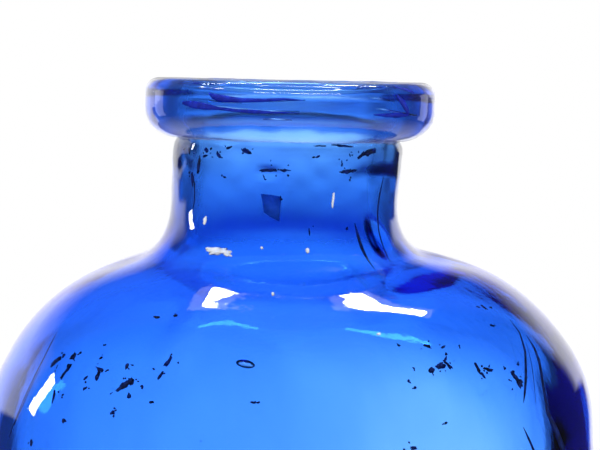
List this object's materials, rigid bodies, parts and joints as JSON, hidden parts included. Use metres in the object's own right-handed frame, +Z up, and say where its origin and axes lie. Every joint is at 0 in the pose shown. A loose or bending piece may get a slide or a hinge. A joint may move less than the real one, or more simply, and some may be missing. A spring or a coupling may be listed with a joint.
{
  "type": "glass bottle",
  "caption": "Round-shouldered cobalt blue glass bottle with a push-up foot, short straight neck and an applied ring lip; holds a liquid or powder and is closed by a cork.",
  "frame": {"origin": "middle of the foot, on the surface that the bottle stands on", "axes": "+Z up along the bottle's axis and out of its mouth; -Y faces the viewer of the picture"},
  "size_m": [0.07, 0.07, 0.15],
  "materials": {
    "cobalt_glass": "fire-polished old glass with seeds, cords and an uneven inner wall"
  },
  "bodies": {
    "root": {"blown_body": "cobalt_glass", "applied_lip": "cobalt_glass"}
  },
  "joints": []
}
